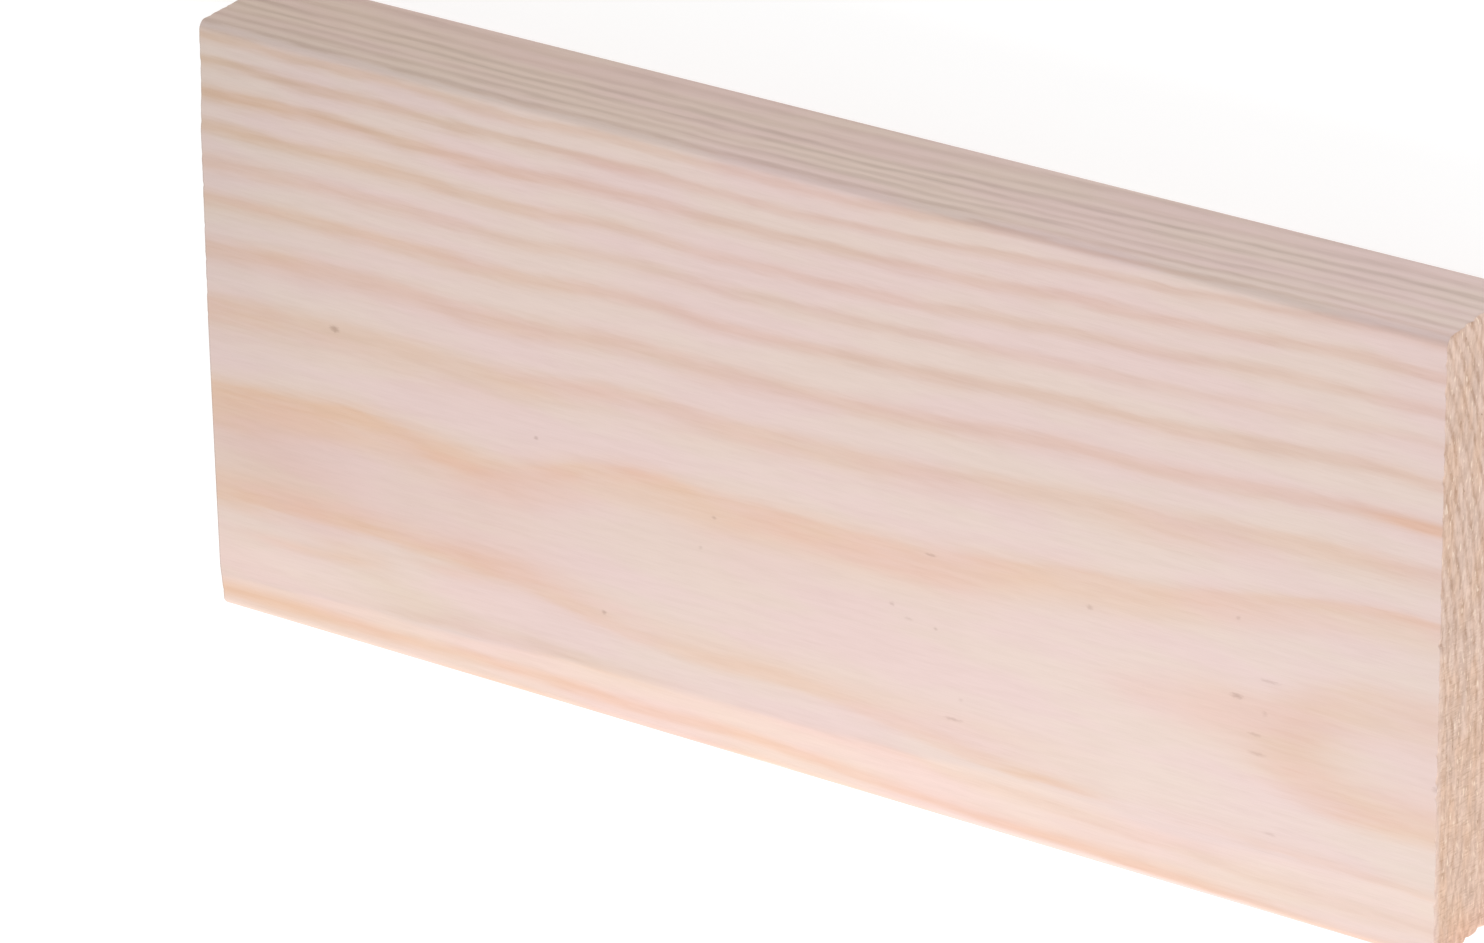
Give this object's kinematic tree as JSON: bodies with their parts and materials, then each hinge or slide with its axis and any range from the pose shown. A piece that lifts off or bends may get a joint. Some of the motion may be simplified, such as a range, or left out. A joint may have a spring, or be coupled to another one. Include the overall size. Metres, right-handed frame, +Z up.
{
  "type": "timber plank",
  "caption": "Short length of planed softwood plank with eased long arrises and square-sawn ends.",
  "frame": {"origin": "middle of the underside, where the plank lies on the floor on its broad face", "axes": "+X along the grain, +Y across the width, +Z up through the thickness"},
  "size_m": [0.21, 0.095, 0.021],
  "materials": {
    "planed_pine": "bare planed softwood, matt"
  },
  "bodies": {
    "root": {"plank": "planed_pine"}
  },
  "joints": []
}
